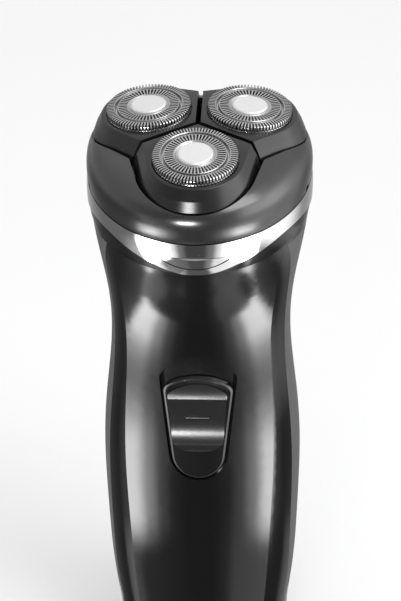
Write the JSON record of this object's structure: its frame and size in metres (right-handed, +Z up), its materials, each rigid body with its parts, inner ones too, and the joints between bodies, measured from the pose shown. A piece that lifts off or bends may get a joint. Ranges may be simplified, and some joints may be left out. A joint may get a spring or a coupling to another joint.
{
  "type": "rotary electric shaver",
  "caption": "Upright handle with a power slider, a chrome collar and a flip-up head of three floating round cutter pods.",
  "frame": {"origin": "in the flat foot at the bottom of the handle, below the middle of the handle", "axes": "+Z up the handle, -Y to the front with the power slider, +X to the right"},
  "size_m": [0.0594, 0.059, 0.16],
  "materials": {
    "gloss_black": "high gloss black",
    "matte_black": "fine matt moulded",
    "grip_rubber": "soft-touch, matt",
    "bright_chrome": "mirror plating",
    "gunmetal": "metallic gunmetal lacquer",
    "pod_grey": "fine satin moulded",
    "guard_steel": "stainless, polished rims",
    "cap_silver": "pale satin",
    "blade_steel": "ground",
    "white_pom": "natural acetal",
    "seal_rubber": "matt",
    "switch_black": "gloss",
    "pad_grey": "satin",
    "motor_steel": "zinc plated",
    "shaft_steel": "ground",
    "brass_pin": "plain",
    "cell_green": "shrink sleeve",
    "nickel_strip": "nickel plated",
    "board_green": "solder resist",
    "chassis_grey": "moulded",
    "screw_steel": "plain"
  },
  "bodies": {
    "handle": {"front_shell": "gloss_black", "back_shell": "matte_black", "grip_right": "grip_rubber", "grip_left": "grip_rubber", "bottom_cap": "gloss_black", "charge_socket": "matte_black", "charge_pins": "brass_pin", "chrome_ring": "bright_chrome", "chamber_base": "matte_black", "hinge_pin": "shaft_steel", "chamber_seal": "seal_rubber", "gear_housing": "white_pom", "housing_screws": "screw_steel", "switch_bed": "switch_black", "motor": "motor_steel", "battery": "cell_green", "battery_contacts": "nickel_strip", "circuit_board": "board_green", "power_switch": "matte_black", "chassis": "chassis_grey", "cap_screws": "screw_steel"},
    "head": {"head_frame": "gunmetal", "retaining_plate": "matte_black"},
    "lock_knob": {"cutter_lock_knob": "pad_grey"},
    "slider": {"slider_trim": "bright_chrome", "slider_body": "switch_black", "thumb_pad": "pad_grey", "slider_carriage": "white_pom"},
    "release": {"release_button": "bright_chrome"},
    "rotor": {"motor_shaft": "shaft_steel", "pinion": "brass_pin"},
    "front_pod": {"pod_front": "pod_grey", "guard_front": "guard_steel", "guard_cap_front": "cap_silver", "guard_clip_front": "matte_black"},
    "front_cutter": {"cutter_front": "blade_steel", "cutter_carrier_front": "white_pom"},
    "front_gear": {"drive_gear_front": "white_pom", "spindle_spring_front": "shaft_steel"},
    "front_spindle": {"spindle_front": "white_pom"},
    "left_pod": {"pod_left": "pod_grey", "guard_left": "guard_steel", "guard_cap_left": "cap_silver", "guard_clip_left": "matte_black"},
    "left_cutter": {"cutter_left": "blade_steel", "cutter_carrier_left": "white_pom"},
    "left_gear": {"drive_gear_left": "white_pom", "spindle_spring_left": "shaft_steel"},
    "left_spindle": {"spindle_left": "white_pom"},
    "right_pod": {"pod_right": "pod_grey", "guard_right": "guard_steel", "guard_cap_right": "cap_silver", "guard_clip_right": "matte_black"},
    "right_cutter": {"cutter_right": "blade_steel", "cutter_carrier_right": "white_pom"},
    "right_gear": {"drive_gear_right": "white_pom", "spindle_spring_right": "shaft_steel"},
    "right_spindle": {"spindle_right": "white_pom"}
  },
  "joints": [
    {"name": "head_hinge", "type": "hinge", "parent": "handle", "child": "head", "pos_m": [0, 0.02531, 0.14379], "axis": [-1, 0, 0], "range_deg": [0, 95]},
    {"name": "lock_knob_turn", "type": "hinge", "parent": "head", "child": "lock_knob", "pos_m": [0, -0.00062, 0.14515], "axis": [0, -0.1564, 0.9877], "range_deg": [0, 90]},
    {"name": "slider_travel", "type": "slide", "parent": "handle", "child": "slider", "axis": [0, 0, 1], "range_m": [0, 0.004]},
    {"name": "release_press", "type": "slide", "parent": "handle", "child": "release", "axis": [0, 1, 0], "range_m": [0, 0.00075], "stiffness_N_per_m": 400, "springref_m": -0.0003},
    {"name": "motor_spin", "type": "hinge", "parent": "handle", "child": "rotor", "pos_m": [0, 0.00125, 0.1333], "axis": [0, -0.1564, 0.9877], "continuous": true},
    {"name": "pod_tilt_front", "type": "hinge", "parent": "head", "child": "front_pod", "pos_m": [0, -0.01568, 0.14702], "axis": [-1, 0, 0], "range_deg": [-1.8, 1.8], "stiffness_Nm_per_rad": 0.05},
    {"name": "cutter_spin_front", "type": "hinge", "parent": "front_pod", "child": "front_cutter", "pos_m": [0, -0.01725, 0.15332], "axis": [0, -0.2419, 0.9703], "continuous": true},
    {"name": "gear_spin_front", "type": "hinge", "parent": "handle", "child": "front_gear", "pos_m": [0, -0.01282, 0.13107], "axis": [0, -0.1564, 0.9877], "continuous": true},
    {"name": "spindle_slide_front", "type": "slide", "parent": "front_gear", "child": "front_spindle", "axis": [0, -0.1564, 0.9877], "range_m": [-0.0015, 0], "stiffness_N_per_m": 300, "springref_m": 0.0005, "deforming": ["spindle_spring_front"]},
    {"name": "pod_tilt_left", "type": "hinge", "parent": "head", "child": "left_pod", "pos_m": [-0.01262, 0.00592, 0.15044], "axis": [0.5, 0.8554, 0.1355], "range_deg": [-1.8, 1.8], "stiffness_Nm_per_rad": 0.05},
    {"name": "cutter_spin_left", "type": "hinge", "parent": "left_pod", "child": "left_cutter", "pos_m": [-0.01311, 0.00519, 0.15688], "axis": [-0.0755, -0.1128, 0.9907], "continuous": true},
    {"name": "gear_spin_left", "type": "hinge", "parent": "handle", "child": "left_gear", "pos_m": [-0.01234, 0.00829, 0.13441], "axis": [0, -0.1564, 0.9877], "continuous": true},
    {"name": "spindle_slide_left", "type": "slide", "parent": "left_gear", "child": "left_spindle", "axis": [0, -0.1564, 0.9877], "range_m": [-0.0015, 0], "stiffness_N_per_m": 300, "springref_m": 0.0005, "deforming": ["spindle_spring_left"]},
    {"name": "pod_tilt_right", "type": "hinge", "parent": "head", "child": "right_pod", "pos_m": [0.01262, 0.00592, 0.15044], "axis": [0.5, -0.8554, -0.1355], "range_deg": [-1.8, 1.8], "stiffness_Nm_per_rad": 0.05},
    {"name": "cutter_spin_right", "type": "hinge", "parent": "right_pod", "child": "right_cutter", "pos_m": [0.01311, 0.00519, 0.15688], "axis": [0.0755, -0.1128, 0.9907], "continuous": true},
    {"name": "gear_spin_right", "type": "hinge", "parent": "handle", "child": "right_gear", "pos_m": [0.01234, 0.00829, 0.13441], "axis": [0, -0.1564, 0.9877], "continuous": true},
    {"name": "spindle_slide_right", "type": "slide", "parent": "right_gear", "child": "right_spindle", "axis": [0, -0.1564, 0.9877], "range_m": [-0.0015, 0], "stiffness_N_per_m": 300, "springref_m": 0.0005, "deforming": ["spindle_spring_right"]}
  ],
  "couplings": [
    {"joint": "gear_spin_front", "follows": "motor_spin", "ratio": -0.32558},
    {"joint": "cutter_spin_front", "follows": "motor_spin", "ratio": -0.32558},
    {"joint": "gear_spin_left", "follows": "motor_spin", "ratio": -0.32558},
    {"joint": "cutter_spin_left", "follows": "motor_spin", "ratio": -0.32558},
    {"joint": "gear_spin_right", "follows": "motor_spin", "ratio": -0.32558},
    {"joint": "cutter_spin_right", "follows": "motor_spin", "ratio": -0.32558}
  ]
}
